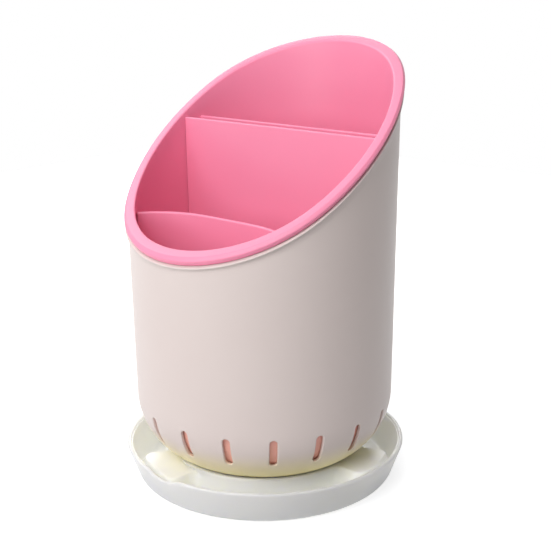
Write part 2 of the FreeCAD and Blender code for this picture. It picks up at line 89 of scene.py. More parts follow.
def mouldedMaterial(name, look):
    material = bpy.data.materials.new(name)
    material.use_nodes = True
    tree = material.node_tree
    shader = tree.nodes["Principled BSDF"]
    shader.inputs["IOR"].default_value = look["ior"]
    place = addNode(tree, "ShaderNodeTexCoord").outputs["Object"]
    cloud = noiseNode(tree, place, look["cloudSize"], skinForm["cloudDetail"], skinForm["cloudBlend"])
    tint = addNode(tree, "ShaderNodeMix", {"Factor": cloud}, data_type="RGBA")
    tint.inputs["A"].default_value = linearColour(look["colour"])
    tint.inputs["B"].default_value = linearColour(look["cloudColour"])
    tree.links.new(tint.outputs["Result"], shader.inputs["Base Color"])
    grain = noiseNode(tree, place, look["skinSize"], skinForm["grainDetail"], skinForm["grainBlend"])
    spread = skinForm["roughSpread"]
    rough = rangeNode(tree, grain, (0.0, 1.0), (look["roughness"] - spread, look["roughness"] + spread))
    tree.links.new(rough, shader.inputs["Roughness"])
    peel = addNode(tree, "ShaderNodeBump", {"Height": grain},
                   {"Strength": look["peel"], "Distance": skinForm["peelHeight"] * mm})
    tree.links.new(peel.outputs["Normal"], shader.inputs["Normal"])
    return material


# Pot: warm beige with a soft sheen, so that lights show as broad pale bands and never as mirror images.
potLook = {"colour": "#dccfcb", "cloudColour": "#d8cac6", "cloudSize": 45.0, "ior": 1.49,
           "roughness": 0.42, "skinSize": 2.2, "peel": 0.05}
potPlastic = mouldedMaterial("beigeSemiGlossPolypropylene", potLook)

# Liner and dividers: rose pink with a satin skin.
linerLook = {"colour": "#fa93b3", "cloudColour": "#f88eaf", "cloudSize": 30.0, "ior": 1.49,
             "roughness": 0.38, "skinSize": 1.6, "peel": 0.08}
linerPlastic = mouldedMaterial("pinkSatinPolypropylene", linerLook)

# Tray: a milky white. Light sinks in and comes out again some millimetres away, so its shade is soft.
# This colour is a white darkened to grey as painted shade, and it stays on the tray's outside. The inside is
# painted lighter further down.
trayLook = {"colour": "#d6d6d9", "cloudColour": "#d3d3d6", "cloudSize": 25.0, "ior": 1.49,
            "roughness": 0.35, "skinSize": 2.0, "peel": 0.05,
            "scatter": 1.0, "scatterDepth": 8.0, "scatterReach": (1.0, 1.0, 0.85)}
trayPlastic = mouldedMaterial("ivoryMilkyPolypropylene", trayLook)

# Pads: pale grey rubber, dull and slightly grainy.
padLook = {"colour": "#b9b9b2", "cloudColour": "#adada6", "cloudSize": 4.0, "ior": 1.52,
           "roughness": 0.75, "skinSize": 0.8, "peel": 0.3}
padRubber = mouldedMaterial("greyMatteRubber", padLook)


def makeMilky(material, look):
    shader = material.node_tree.nodes["Principled BSDF"]
    shader.inputs["Subsurface Weight"].default_value = look["scatter"]
    shader.inputs["Subsurface Radius"].default_value = look["scatterReach"]
    shader.inputs["Subsurface Scale"].default_value = look["scatterDepth"] * mm


def placeNumbers(tree):
    # distance from the upright axis, and height
    place = addNode(tree, "ShaderNodeTexCoord").outputs["Object"]
    axes = addNode(tree, "ShaderNodeSeparateXYZ", {0: place}).outputs
    flat = addNode(tree, "ShaderNodeCombineXYZ", {"X": axes["X"], "Y": axes["Y"]}).outputs[0]
    out = addNode(tree, "ShaderNodeVectorMath", {0: flat}, operation="LENGTH").outputs["Value"]
    return out, axes["Z"]


def layTint(material, mask, colour):
    # lays a second colour over a material's own, where a mask says
    tree = material.node_tree
    base = tree.nodes["Principled BSDF"].inputs["Base Color"]
    own = base.links[0].from_socket
    over = addNode(tree, "ShaderNodeMix", {"Factor": mask, "A": own}, data_type="RGBA")
    over.inputs["B"].default_value = linearColour(colour)
    tree.links.new(over.outputs["Result"], base)


# Painted bounce light: a warm straw colour painted on the pot towards its foot, standing in for the light
# the tray throws up at it.
paintedBounceTint = {"colour": "#fff0b8", "from": 35.0, "to": 15.0}


# Paints the tray's straw bounce light onto the pot's foot as colour, fading out with height.
def paintBounceLight(material):
    tree = material.node_tree
    height = placeNumbers(tree)[1]
    mask = rangeNode(tree, height, (paintedBounceTint["from"] * mm, paintedBounceTint["to"] * mm), ease="SMOOTHSTEP")
    layTint(material, mask, paintedBounceTint["colour"])


# Painted light and shade: the milky tray is painted cream white inside, standing in for light that has
# passed through it, while its outside keeps a greyer white as painted shade.
paintedGlowTint = {"colour": "#f9fbf5", "baseRadius": 64.0, "flare": 0.36, "from": 0.5, "to": 2.2}


# Paints the tray's inside lighter than its outside, as painted light and shade, by depth in from the outer
# skin.
def paintInnerGlow(material):
    tree = material.node_tree
    out, height = placeNumbers(tree)
    skin = mathNode(tree, "MULTIPLY_ADD", height, paintedGlowTint["flare"], paintedGlowTint["baseRadius"] * mm)
    deep = mathNode(tree, "SUBTRACT", skin, out)
    mask = rangeNode(tree, deep, (paintedGlowTint["from"] * mm, paintedGlowTint["to"] * mm))
    layTint(material, mask, paintedGlowTint["colour"])


# Painted light: a peach colour painted on the liner's outside behind the slots, standing in for the light
# there having first met beige and straw.
# The core is the ring line that the bottom rounding swings about, from and to are distances from it.
paintedSlotLightTint = {"colour": "#f2b2a2", "coreRadius": 29.64, "coreHeight": 45.0, "from": 30.7, "to": 31.4,
            "top": 80.0, "full": 34.0}


# Paints the peach light seen through the pot's slots onto the liner's outside, low down and outside the
# bottom rounding.
def paintSlotLight(material):
    tree = material.node_tree
    out, height = placeNumbers(tree)
    past = mathNode(tree, "SUBTRACT", out, paintedSlotLightTint["coreRadius"] * mm)
    aside = mathNode(tree, "MAXIMUM", past, 0.0)
    over = mathNode(tree, "SUBTRACT", height, paintedSlotLightTint["coreHeight"] * mm)
    below = mathNode(tree, "MINIMUM", over, 0.0)
    spoke = addNode(tree, "ShaderNodeCombineXYZ", {"X": aside, "Y": below}).outputs[0]
    reach = addNode(tree, "ShaderNodeVectorMath", {0: spoke}, operation="LENGTH").outputs["Value"]
    outside = rangeNode(tree, reach, (paintedSlotLightTint["from"] * mm, paintedSlotLightTint["to"] * mm))
    low = rangeNode(tree, height, (paintedSlotLightTint["top"] * mm, paintedSlotLightTint["full"] * mm), ease="SMOOTHSTEP")
    layTint(material, mathNode(tree, "MULTIPLY", outside, low), paintedSlotLightTint["colour"])


makeMilky(trayPlastic, trayLook)
# Painted light and shade: bounce light on the pot's foot, a lighter inside and greyer outside on the tray,
# and peach light behind the slots.
paintBounceLight(potPlastic)
paintInnerGlow(trayPlastic)
paintSlotLight(linerPlastic)


def finishNode(node, material):
    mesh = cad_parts[node].data
    mesh.materials.clear()
    mesh.materials.append(material)


for node in ("slot_front_panel", "slot_rear_panel"):
    finishNode(node, linerPlastic)
for number in range(1, 5):
    finishNode("non_slip_pad_%d" % number, padRubber)
print("materials assigned")


def newTree(name, sizes):
    # a node tree with geometry in and out, and one named input for each size
    tree = bpy.data.node_groups.new(name, "GeometryNodeTree")
    tree.interface.new_socket("Geometry", in_out="INPUT", socket_type="NodeSocketGeometry")
    for label, value in sizes.items():
        kind = {int: "NodeSocketInt", float: "NodeSocketFloat"}.get(type(value), "NodeSocketMaterial")
        tree.interface.new_socket(label, in_out="INPUT", socket_type=kind)
    tree.interface.new_socket("Geometry", in_out="OUTPUT", socket_type="NodeSocketGeometry")
    return tree, addNode(tree, "NodeGroupInput").outputs


def closeTree(tree, given, geometry):
    # gives the geometry its material and hands it out of the tree
    paint = addNode(tree, "GeometryNodeSetMaterial", {"Geometry": geometry, "Material": given["Material"]})
    addNode(tree, "NodeGroupOutput", {"Geometry": paint.outputs[0]})


def runTree(tree, mesh, sizes):
    # puts a mesh through a node tree and returns the plain mesh that comes out
    holder = bpy.data.objects.new(tree.name, mesh)
    bpy.context.scene.collection.objects.link(holder)
    modifier = holder.modifiers.new(tree.name, "NODES")
    modifier.node_group = tree
    for item in tree.interface.items_tree:
        if item.in_out == "INPUT" and item.name in sizes:
            modifier[item.identifier] = sizes[item.name]
    bpy.context.view_layer.update()
    made = bpy.data.meshes.new_from_object(holder.evaluated_get(bpy.context.evaluated_depsgraph_get()))
    holder.modifiers.remove(modifier)
    bpy.data.objects.remove(holder)
    return made


# Points closer than these are made one: within a tree, and where separate meshes join.
weldReach = {"tree": 0.01, "join": 0.02}

# Copies of one tile, set side by side in a ring about the upright axis and welded.
tileRingSizes = {"Count": 3, "Turn": 0.0, "Weld": weldReach["tree"] * mm, "Material": None}


def makeTileRing():
    tree, given = newTree("tileRing", tileRingSizes)
    spots = addNode(tree, "GeometryNodePoints", {"Count": given["Count"]})
    index = addNode(tree, "GeometryNodeInputIndex").outputs[0]
    share = mathNode(tree, "DIVIDE", index, given["Count"])
    angle = mathNode(tree, "MULTIPLY_ADD", share, math.tau, given["Turn"])
    around = addNode(tree, "ShaderNodeCombineXYZ", {"Z": angle}).outputs[0]
    copies = addNode(tree, "GeometryNodeInstanceOnPoints",
                     {"Points": spots.outputs[0], "Instance": given["Geometry"], "Rotation": around})
    real = addNode(tree, "GeometryNodeRealizeInstances", {"Geometry": copies.outputs[0]})
    weld = addNode(tree, "GeometryNodeMergeByDistance",
                   {"Geometry": real.outputs[0], "Distance": given["Weld"]})
    closeTree(tree, given, weld.outputs[0])
    return tree


pinSides = 24


def pinsOn(tree, given, spots):
    # a round pin on each spot
    pin = addNode(tree, "GeometryNodeMeshCylinder", {"Radius": given["Radius"], "Depth": given["Depth"]},
                  {"Vertices": pinSides})
    copies = addNode(tree, "GeometryNodeInstanceOnPoints",
                     {"Points": spots, "Instance": pin.outputs["Mesh"]})
    return addNode(tree, "GeometryNodeRealizeInstances", {"Geometry": copies.outputs[0]}).outputs[0]


def cutPins(tree, given, pins):
    # takes the pins out of the mesh that was given, and closes the tree
    cut = addNode(tree, "GeometryNodeMeshBoolean", {"Mesh 1": given["Geometry"], "Mesh 2": pins},
                  operation="DIFFERENCE", solver="EXACT")
    closeTree(tree, given, cut.outputs["Mesh"])


# A ring of round holes, and one in the middle where it is asked for, cut straight up through a floor.
drillSizes = {"Count": 6, "Circle": 0.01, "Turn": 0.0, "Radius": 0.003, "Depth": 0.01, "Level": 0.0,
              "Middle": 1, "Material": None}


def makeDrill():
    tree, given = newTree("drillRing", drillSizes)
    ring = addNode(tree, "GeometryNodeMeshCircle", {"Vertices": given["Count"], "Radius": given["Circle"]})
    around = addNode(tree, "ShaderNodeCombineXYZ", {"Z": given["Turn"]}).outputs[0]
    swung = addNode(tree, "GeometryNodeTransform", {"Geometry": ring.outputs[0], "Rotation": around})
    middle = addNode(tree, "GeometryNodePoints", {"Count": given["Middle"]})
    spots = addNode(tree, "GeometryNodeJoinGeometry", {"Geometry": swung.outputs[0]})
    tree.links.new(middle.outputs[0], spots.inputs["Geometry"])
    lift = addNode(tree, "ShaderNodeCombineXYZ", {"Z": given["Level"]}).outputs[0]
    pins = addNode(tree, "GeometryNodeTransform",
                   {"Geometry": pinsOn(tree, given, spots.outputs[0]), "Translation": lift})
    cutPins(tree, given, pins.outputs[0])
    return tree


# Pot and liner are turned on one upright axis and end along the same slanted rim line. A point of the
# profile holds three numbers: how far it stands out from the tapered wall, how much of the rim line its
# height follows, and a height of its own.
wallForm = {"bottom": 11.0, "baseRadius": 63.3, "taper": 1.6 / 157.8}
rimLine = {"middle": 168.8, "run": 50.0, "rise": 37.0, "easeRadius": 290.0, "reach": 43.2}
rimSlope = math.atan2(rimLine["rise"], rimLine["run"])
turningSizes = {"Columns": 180, "Turn": 0.0, "Middle": rimLine["middle"] * mm,
                "HalfRun": rimLine["run"] / 2 * mm, "Slope": rimLine["rise"] / rimLine["run"],
                "EaseRadius": rimLine["easeRadius"] * mm,
                "EaseAcross": rimLine["easeRadius"] * math.sin(rimSlope) * mm,
                "EaseUp": rimLine["easeRadius"] * math.cos(rimSlope) * mm, "Reach": rimLine["reach"] * mm,
                "Bottom": wallForm["bottom"] * mm, "BaseRadius": wallForm["baseRadius"] * mm,
                "Taper": wallForm["taper"], "Material": None}


def wallRadius(height):
    return wallForm["baseRadius"] + wallForm["taper"] * (height - wallForm["bottom"])


def makeTurning():
    tree, given = newTree("slantedTurning", turningSizes)

    def sumOf(operation, *terms):
        return mathNode(tree, operation, *terms)

    rows = addNode(tree, "GeometryNodeAttributeDomainSize", {"Geometry": given["Geometry"]})
    across = sumOf("ADD", given["Columns"], 1.0)
    grid = addNode(tree, "GeometryNodeMeshGrid",
                   {"Vertices X": rows.outputs["Point Count"], "Vertices Y": across})
    index = addNode(tree, "GeometryNodeInputIndex").outputs[0]
    row = sumOf("FLOOR", sumOf("DIVIDE", index, across))
    column = sumOf("MODULO", index, across)
    place = addNode(tree, "GeometryNodeInputPosition").outputs[0]
    point = addNode(tree, "GeometryNodeSampleIndex",
                    {"Geometry": given["Geometry"], "Value": place, "Index": row}, data_type="FLOAT_VECTOR")
    numbers = addNode(tree, "ShaderNodeSeparateXYZ", {0: point.outputs[0]}).outputs
    proud, follow, height = numbers["X"], numbers["Y"], numbers["Z"]
    angle = sumOf("MULTIPLY_ADD", sumOf("DIVIDE", column, given["Columns"]), math.tau, given["Turn"])
    sine = sumOf("SINE", angle)
    cosine = sumOf("COSINE", angle)

    def radiusAt(level):
        rise = sumOf("SUBTRACT", level, given["Bottom"])
        return sumOf("ADD", sumOf("MULTIPLY_ADD", rise, given["Taper"], given["BaseRadius"]), proud)

    # a first guess of the height, only to know how far out the tapered wall is there
    sway = sumOf("MULTIPLY", given["Reach"], cosine)
    guess = sumOf("MULTIPLY_ADD", follow, sumOf("SUBTRACT", given["Middle"], sway), height)
    y = sumOf("MULTIPLY", sumOf("MULTIPLY", radiusAt(guess), cosine), -1.0)
    # the rim line: straight about the middle, then easing off along an arc on both sides
    far = sumOf("ABSOLUTE", y)
    near = sumOf("MINIMUM", far, given["HalfRun"])
    straight = sumOf("MULTIPLY", near, given["Slope"])
    side = sumOf("SUBTRACT", given["EaseAcross"], sumOf("SUBTRACT", far, near))
    wholeSquare = sumOf("MULTIPLY", given["EaseRadius"], given["EaseRadius"])
    left = sumOf("SUBTRACT", wholeSquare, sumOf("MULTIPLY", side, side))
    easing = sumOf("SUBTRACT", sumOf("SQRT", left), given["EaseUp"])
    away = sumOf("ADD", straight, easing)
    rim = sumOf("MULTIPLY_ADD", away, sumOf("SIGN", y), given["Middle"])
    level = sumOf("MULTIPLY_ADD", follow, rim, height)
    radius = radiusAt(level)
    spotX = sumOf("MULTIPLY", radius, sine)
    spotY = sumOf("MULTIPLY", sumOf("MULTIPLY", radius, -1.0), cosine)
    spot = addNode(tree, "ShaderNodeCombineXYZ", {"X": spotX, "Y": spotY, "Z": level}).outputs[0]
    bent = addNode(tree, "GeometryNodeSetPosition", {"Geometry": grid.outputs["Mesh"], "Position": spot})
    weld = addNode(tree, "GeometryNodeMergeByDistance", {"Geometry": bent.outputs[0]},
                   {"Distance": weldReach["tree"] * mm})
    closeTree(tree, given, weld.outputs[0])
    return tree


tileRing = makeTileRing()
drillRing = makeDrill()
slantedTurning = makeTurning()


def plainMesh(name, points, faces, edges=()):
    mesh = bpy.data.meshes.new(name)
    mesh.from_pydata([[v * mm for v in p] for p in points], edges, faces)
    return mesh


def ringFaces(rings, count, closed=True):
    # four-sided faces between neighbouring rings of points
    faces = []
    for k in range(rings - 1):
        for j in range(count if closed else count - 1):
            after = (j + 1) % count
            faces.append((k * count + j, k * count + after, (k + 1) * count + after, (k + 1) * count + j))
    return faces


def turned(name, profile, columns, turn, material):
    # a profile of (proud, follow, height) points, run round the axis. Follow is a share and no length,
    # so it is kept clear of the change to metres.
    points = [(proud, follow / mm, height) for proud, follow, height in profile]
    line = plainMesh(name, points, [], [(k, k + 1) for k in range(len(points) - 1)])
    return runTree(slantedTurning, line, dict(turningSizes, Columns=columns, Turn=turn, Material=material))


def fixedPoint(radius, height):
    # a profile point at a set radius and height
    return (radius - wallRadius(height), 0.0, height)


def rimArc(proud, height, radius, start, end, steps=6):
    # an arc about a point of the rim's section, between two angles in degrees
    points = []
    for k in range(steps + 1):
        bend = math.radians(start + (end - start) * k / steps)
        points.append((proud + radius * math.cos(bend), 1.0, height + radius * math.sin(bend)))
    return points


def welded(name, meshes):
    # one closed mesh from several, with its faces turned outwards
    shell = bmesh.new()
    for mesh in meshes:
        shell.from_mesh(mesh)
    bmesh.ops.remove_doubles(shell, verts=shell.verts, dist=weldReach["join"] * mm)
    bmesh.ops.recalc_face_normals(shell, faces=shell.faces)
    mesh = bpy.data.meshes.new(name)
    shell.to_mesh(mesh)
    openEdges = sum(1 for edge in shell.edges if len(edge.link_faces) != 2)
    print(name, len(shell.faces), "faces,", openEdges, "open edges")
    shell.free()
    return mesh


creaseAngle = 40


def finishPiece(name, mesh, material, body, nodes):
    mesh.materials.clear()
    mesh.materials.append(material)
    mesh.shade_smooth()
    mesh.set_sharp_from_angle(angle=math.radians(creaseAngle))
    piece = bpy.data.objects.new(name, mesh)
    bpy.context.scene.collection.objects.link(piece)
    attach(piece, body)
    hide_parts(*nodes)


# Outer pot: a thin tapered cup on a large bottom rounding, with a ring of upright slots whose edges are
# softened, and drain holes inside a low locating ring. A small bead runs along its top edge.
potForm = {"round": 34.0, "roundSteps": 16, "wall": 1.8, "wallRows": 24, "edgeRound": 0.6, "belowRim": 4.55,
           "bead": 1.4, "beadHeight": 1.9, "beadSteps": 6, "bandLow": 22.0, "bandHigh": 46.0,
           "slotCount": 18, "slotTurn": 5.3, "slotWidth": 3.6, "slotLow": 26.8, "slotHigh": 41.4,
           "slotSoft": 0.55, "slotSoftSteps": 5, "slotSoftInside": 0.3, "slotSoftInsideSteps": 3,
           "slotCollar": 1.6, "slotRing": 0.9, "slotRingInside": 0.8, "tileColumns": 10, "tileRows": 16,
           "tileBlends": (0.0, 0.22, 0.45, 0.66, 0.84, 1.0), "tileBlendsInside": (1.0, 0.7, 0.35, 0.0),
           "locatorOut": 20.5, "locatorIn": 18.5, "locatorFoot": 9.5, "locatorRoot": 0.4, "locatorEdge": 0.3,
           "floorRing": 15.0, "drainCount": 6, "drainCircle": 13.5, "drainRadius": 3.0, "drainWalls": 4}


def potRadius(height, inset):
    # the pot's wall with its bottom rounding, moved inwards by an inset
    rounding = potForm["round"]
    centre = wallForm["bottom"] + rounding
    if height >= centre:
        return wallRadius(height) - inset
    bulge = rounding - inset
    return wallRadius(centre) - rounding + math.sqrt(max(bulge ** 2 - (centre - height) ** 2, 0.0))


def slotMarks():
    # the columns of points round one slot: angle and height on the tile's border, then the way out from
    # the slot's half round, and the height of that half round's middle
    columns, rows = potForm["tileColumns"], potForm["tileRows"]
    half = math.pi / potForm["slotCount"]
    low, high = potForm["bandLow"], potForm["bandHigh"]
    slotHalf = potForm["slotWidth"] / 2
    slotFoot, slotTop = potForm["slotLow"] + slotHalf, potForm["slotHigh"] - slotHalf
    marks = []
    for way, border, borderEnd, middle, middleEnd in ((1, high, low, slotTop, slotFoot),
                                                      (-1, low, high, slotFoot, slotTop)):
        for k in range(columns):
            turn = math.pi * k / columns
            angle = way * (2 * half * k / columns - half)
            marks.append((angle, border, -way * math.cos(turn), way * math.sin(turn), middle))
        for k in range(rows):
            share = k / rows
            marks.append((way * half, border + (borderEnd - border) * share, way, 0.0,
                          middle + (middleEnd - middle) * share))
    return marks


def slotTile():
    # one share of the slotted band: rings of points from its outer border, in through the slot's
    # softened edge and wall, and out again to the border of the inside
    marks = slotMarks()
    slotHalf = potForm["slotWidth"] / 2

    def onSkin(angle, height, inset):
        radius = potRadius(height, inset)
        return (radius * math.sin(angle), -radius * math.cos(angle), height)

    def onSlot(mark, grow, inset):
        across, up, middle = mark[2:]
        height = middle + up * (slotHalf + grow)
        return math.asin(across * (slotHalf + grow) / potRadius(height, inset)), height

    def towardsSlot(blend, inset):
        # a ring of points part of the way from the tile's border to a collar round the slot
        ring = []
        for mark in marks:
            borderAngle, borderHeight = mark[:2]
            angle, height = onSlot(mark, potForm["slotCollar"], inset)
            ring.append(onSkin(borderAngle + (angle - borderAngle) * blend,
                               borderHeight + (height - borderHeight) * blend, inset))
        return ring

    wall = potForm["wall"]
    soft, softSteps = potForm["slotSoft"], potForm["slotSoftSteps"]
    softInside, softInsideSteps = potForm["slotSoftInside"], potForm["slotSoftInsideSteps"]
    section = [(potForm["slotRing"], 0.0)]  # how far outside the slot's outline, and how deep in the wall
    for k in range(softSteps + 1):
        turn = math.pi / 2 * k / softSteps
        section.append((soft * (1 - math.sin(turn)), soft * (1 - math.cos(turn))))
    for k in range(softInsideSteps + 1):
        turn = math.pi / 2 * k / softInsideSteps
        section.append((softInside * (1 - math.cos(turn)), wall - softInside * (1 - math.sin(turn))))
    section.append((potForm["slotRingInside"], wall))
    rings = [towardsSlot(blend, 0.0) for blend in potForm["tileBlends"]]
    for grow, inset in section:
        rings.append([onSkin(*onSlot(mark, grow, inset), inset) for mark in marks])
    rings += [towardsSlot(blend, wall) for blend in potForm["tileBlendsInside"]]
    points = [point for ring in rings for point in ring]
    return plainMesh("slotTile", points, ringFaces(len(rings), len(marks)))


def potUpperProfile():
    # up the outside from the slotted band, over the beaded edge and down the inside
    wall, edge, rows, high = potForm["wall"], potForm["edgeRound"], potForm["wallRows"], potForm["bandHigh"]
    below, bead, beadHeight = potForm["belowRim"], potForm["bead"], potForm["beadHeight"]

    def wallPoint(proud, share, drop):
        return (proud, share, high * (1 - share) - share * drop)

    profile = [wallPoint(0.0, k / rows, below + beadHeight) for k in range(rows + 1)]
    for k in range(1, potForm["beadSteps"] + 1):
        share = k / potForm["beadSteps"]
        profile.append((bead * share * share * (3 - 2 * share), 1.0,
                        -below - edge - (beadHeight - edge) * (1 - share)))
    profile += rimArc(bead - edge, -below - edge, edge, 0, 90)[1:]
    profile += rimArc(edge - wall, -below - edge, edge, 90, 180)
    profile += [wallPoint(-wall, k / rows, below + edge) for k in range(rows - 1, -1, -1)]
    return profile


def potRoundingProfile(inset):
    # down the bottom rounding from the slotted band, on the outside or moved inwards by an inset
    steps = potForm["roundSteps"]
    centre = wallForm["bottom"] + potForm["round"]
    bulge = potForm["round"] - inset
    core = wallRadius(centre) - potForm["round"]
    first = math.asin((centre - potForm["bandLow"]) / bulge)
    bends = [first + (math.pi / 2 - first) * k / steps for k in range(steps + 1)]
    return [fixedPoint(core + bulge * math.cos(bend), centre - bulge * math.sin(bend)) for bend in bends]


def makePot():
    wall, bottom, count = potForm["wall"], wallForm["bottom"], potForm["slotCount"]
    turn = math.radians(potForm["slotTurn"])
    parts = [runTree(tileRing, slotTile(), dict(tileRingSizes, Count=count, Turn=turn, Material=potPlastic))]
    outer, inner, foot = potForm["locatorOut"], potForm["locatorIn"], potForm["locatorFoot"]
    root, edge = potForm["locatorRoot"], potForm["locatorEdge"]
    locator = ((outer + root, bottom), (outer, bottom - root), (outer, foot + edge), (outer - edge, foot),
               (inner + edge, foot), (inner, foot + edge), (inner, bottom - root), (inner - root, bottom),
               (0.0, bottom))
    under = potRoundingProfile(0.0) + [fixedPoint(radius, height) for radius, height in locator]
    inside = potRoundingProfile(wall)
    inside += [fixedPoint(radius, bottom + wall) for radius in (potForm["floorRing"], 0.0)]
    columns = count * potForm["tileColumns"]
    start = turn - math.pi / count
    for name, profile in (("potUpper", potUpperProfile()), ("potUnder", under), ("potInside", inside)):
        parts.append(turned(name, profile, columns, start, potPlastic))
    shell = welded("potShell", parts)
    holes = dict(drillSizes, Count=potForm["drainCount"], Circle=potForm["drainCircle"] * mm,
                 Radius=potForm["drainRadius"] * mm, Depth=wall * potForm["drainWalls"] * mm,
                 Level=(bottom + wall / 2) * mm, Material=potPlastic)
    mesh = runTree(drillRing, shell, holes)
    finishPiece("outerPot", mesh, potPlastic, "pot", ["outer_pot"])


makePot()
print("pot made")

# Inner liner: a second cup that follows the pot's inside. Its brim lies over the pot's edge, with a flat
# top, a swelling side and an undercut. Its floor has rows of drain holes, and slim ribs on its wall guide
# the dividers. The four bends are the angles of the brim's arcs, from the undercut up and over the top.
linerForm = {"outside": 2.15, "inside": 3.75, "columns": 180, "wallRows": 24, "roundSteps": 20,
             "brim": 1.65, "brimUnder": 4.2, "brimRound": 0.5, "edgeRound": 0.9, "brimTop": 0.8,
             "brimSwell": 1.0, "swellHeight": 1.5, "brimTuck": 0.5, "brimFoot": 0.4,
             "footBend": (-90, -20), "swellBend": (-25, 25), "topBend": (30, 90), "edgeBend": (90, 180),
             "drainRadius": 2.25, "drainPitch": 12.0, "drainDepth": 8.0, "drainLevel": 14.0,
             "ribDepth": 2.6, "ribRoot": 0.8, "ribRound": 0.45, "ribBevel": 0.3, "ribRows": 40,
             "ribFoot": 22.0, "curvedRibTop": 117.6}
# where each row of holes lies, as y, and how many it has
drainRows = ((-30.9, 5), (-6.15, 7), (14.5, 5), (29.25, 5))
# front and back of each flat rib, as y, and its top
flatRibs = ((7.2, 8.7, 112.0), (11.3, 12.8, 170.5), (16.2, 17.7, 170.5), (20.3, 21.8, 170.5))
# front and back of the curved divider's ribs, as distances from its middle
curvedRibs = ((-2.9, -1.4), (1.4, 2.9))
drainSizes = {"Pitch": linerForm["drainPitch"] * mm, "Radius": linerForm["drainRadius"] * mm,
              "Depth": linerForm["drainDepth"] * mm, "Level": linerForm["drainLevel"] * mm, "Material": None}


def makeDrainRows():
    tree, given = newTree("drainRows", drainSizes)
    spots = addNode(tree, "GeometryNodeJoinGeometry")
    step = addNode(tree, "ShaderNodeCombineXYZ", {"X": given["Pitch"]}).outputs[0]
    for y, count in drainRows:
        first = mathNode(tree, "MULTIPLY", given["Pitch"], (1 - count) / 2)
        start = addNode(tree, "ShaderNodeCombineXYZ", {"X": first, "Z": given["Level"]}, {"Y": y * mm})
        row = addNode(tree, "GeometryNodeMeshLine", {"Start Location": start.outputs[0], "Offset": step},
                      {"Count": count})
        tree.links.new(row.outputs[0], spots.inputs[0])
    cutPins(tree, given, pinsOn(tree, given, spots.outputs[0]))
    return tree


def linerProfile():
    form = linerForm
    rows, steps = form["wallRows"], form["roundSteps"]
    join = wallForm["bottom"] + potForm["round"]
    core = wallRadius(join) - potForm["round"]

    def rounding(inset):
        bulge = potForm["round"] - inset
        turns = [math.pi / 2 * k / steps for k in range(steps + 1)]
        return [fixedPoint(core + bulge * math.sin(t), join - bulge * math.cos(t)) for t in turns]

    def wallPoints(inset, drop):
        return [(-inset, k / rows, join * (1 - k / rows) - drop * k / rows) for k in range(1, rows + 1)]

    under, foot, swell = form["brimUnder"], form["brimFoot"], form["brimSwell"]
    top, edge = form["brimRound"], form["edgeRound"]
    profile = [fixedPoint(0.0, wallForm["bottom"] + form["outside"])] + rounding(form["outside"])
    profile += wallPoints(form["outside"], under)
    profile += rimArc(form["brimTuck"] - foot, -under + foot, foot, *form["footBend"])
    profile += rimArc(form["brim"] - swell, -form["swellHeight"], swell, *form["swellBend"])
    profile += rimArc(form["brimTop"] - top, -top, top, *form["topBend"])
    profile += rimArc(edge - form["inside"], -edge, edge, *form["edgeBend"])
    inside = rounding(form["inside"]) + wallPoints(form["inside"], edge)
    profile += inside[-2::-1]
    profile.append(fixedPoint(0.0, wallForm["bottom"] + form["inside"]))
    return profile


# Curved divider: a wall that is nearly flat in the middle and sweeps forward to both sides. Its rows of
# points crowd towards the foot, where the liner's rounding narrows it.
dividerForm = {"apex": -23.4, "sweep": 16.6, "power": 4, "halfWidth": 46.8, "thick": 2.0, "top": 133.6,
               "gap": 0.3, "rows": 30, "crowding": 1.6, "columns": 48, "topSteps": 11,
               "halvings": 40, "corrections": 4}


def sweepAt(x):
    # where the divider's middle lies at a distance from the holder's middle
    share = x / dividerForm["halfWidth"]
    return dividerForm["apex"] - dividerForm["sweep"] * share ** dividerForm["power"]


def sweepSlope(x):
    power, width = dividerForm["power"], dividerForm["halfWidth"]
    return -power * dividerForm["sweep"] / width * (x / width) ** (power - 1)


def sweepEnd(radius):
    # how far to the side the divider reaches a distance from the holder's axis
    low, high = 0.0, radius
    for _ in range(dividerForm["halvings"]):
        middle = (low + high) / 2
        if math.hypot(middle, sweepAt(middle)) < radius:
            low = middle
        else:
            high = middle
    return low


def besideSweep(lane, radius):
    # the point at a distance from the divider's middle and from the holder's axis
    end = sweepEnd(radius)
    for _ in range(dividerForm["corrections"]):
        tilt = math.atan(sweepSlope(end))
        x, y = end - lane * math.sin(tilt), sweepAt(end) + lane * math.cos(tilt)
        end += (radius - math.hypot(x, y)) * math.cos(tilt)
    return x, y


def ribMesh(front, back, top, curved, side):
    # one upright rib on the liner's wall: its section from the wall inwards, at a row of heights
    form = linerForm
    rows, soft = form["ribRows"], form["ribRound"]
    bevel = soft * form["ribBevel"]
    points = []
    for k in range(rows + 1):
        level = form["ribFoot"] + (top - form["ribFoot"]) * k / rows
        root = potRadius(level, form["inside"] - form["ribRoot"])
        crest = potRadius(level, form["inside"] + form["ribDepth"])
        blunt = max(level - (top - soft), 0.0)
        section = ((front, root), (front, crest + soft), (front + bevel, crest + bevel),
                   (front + soft, crest), (back - soft, crest),
                   (back - bevel, crest + bevel), (back, crest + soft), (back, root))
        for lane, out in section:
            radius = min(out + blunt, root)
            x, y = besideSweep(lane, radius) if curved else (math.sqrt(radius ** 2 - lane ** 2), lane)
            points.append((side * x, y, level))
    count = len(section)
    ends = [tuple(range(count)), tuple(range(len(points) - count, len(points)))]
    return plainMesh("rib", points, ends + ringFaces(rows + 1, count))


